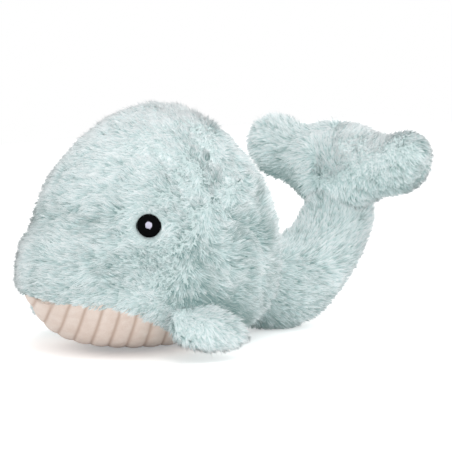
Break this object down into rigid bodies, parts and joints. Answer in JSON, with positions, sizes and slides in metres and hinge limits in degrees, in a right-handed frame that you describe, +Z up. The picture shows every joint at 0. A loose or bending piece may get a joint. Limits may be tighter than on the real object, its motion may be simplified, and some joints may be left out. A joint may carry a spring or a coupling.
{
  "type": "plush whale",
  "caption": "Stuffed plush whale in pale aqua fur, with a ribbed blush belly, embroidered eyes, flippers and an upturned tail with a two-lobed fluke.",
  "frame": {"origin": "middle of the toy's footprint, on the surface that its belly rests on", "axes": "+Z up, +X from the nose to the tail, +Y to the whale's right side"},
  "size_m": [0.2832, 0.1894, 0.1639],
  "materials": {
    "fur_plush": "long-pile faux fur, soft and matt",
    "ribbed_plush": "short-pile plush with wide padded ribs",
    "stuffing": "loose white polyester fibre",
    "black_thread": "satin-stitched embroidery thread",
    "pale_thread": "satin-stitched embroidery thread"
  },
  "bodies": {
    "body": {"body_side_panel_left": "fur_plush", "body_side_panel_right": "fur_plush", "belly_panel": "ribbed_plush", "body_stuffing": "stuffing", "eye_left_pupil": "black_thread", "eye_left_highlight": "pale_thread", "eye_right_pupil": "black_thread", "eye_right_highlight": "pale_thread"},
    "tail": {"tail_panel_left": "fur_plush", "tail_panel_right": "fur_plush", "tail_stuffing": "stuffing"},
    "fluke": {"fluke_front_panel": "fur_plush", "fluke_back_panel": "fur_plush", "fluke_stuffing": "stuffing"},
    "flipper_left": {"flipper_left_upper_panel": "fur_plush", "flipper_left_under_panel": "fur_plush", "flipper_left_stuffing": "stuffing"},
    "flipper_right": {"flipper_right_upper_panel": "fur_plush", "flipper_right_under_panel": "fur_plush", "flipper_right_stuffing": "stuffing"}
  },
  "joints": [
    {"name": "tail_lift", "type": "hinge", "parent": "body", "child": "tail", "pos_m": [0.05762, 0, 0.0315], "axis": [0, -1, 0], "range_deg": [-5, 12], "stiffness_Nm_per_rad": 1.2},
    {"name": "fluke_fold", "type": "hinge", "parent": "tail", "child": "fluke", "pos_m": [0.12112, 0, 0.079], "axis": [0, -1, 0], "range_deg": [-15, 20], "stiffness_Nm_per_rad": 0.3},
    {"name": "flipper_left_flap", "type": "hinge", "parent": "body", "child": "flipper_left", "pos_m": [-0.06295, -0.06835, 0.032], "axis": [-0.9991, 0.042, 0], "range_deg": [-12, 35], "stiffness_Nm_per_rad": 0.05},
    {"name": "flipper_right_flap", "type": "hinge", "parent": "body", "child": "flipper_right", "pos_m": [-0.06295, 0.06835, 0.032], "axis": [0.9991, 0.042, 0], "range_deg": [-12, 35], "stiffness_Nm_per_rad": 0.05}
  ]
}
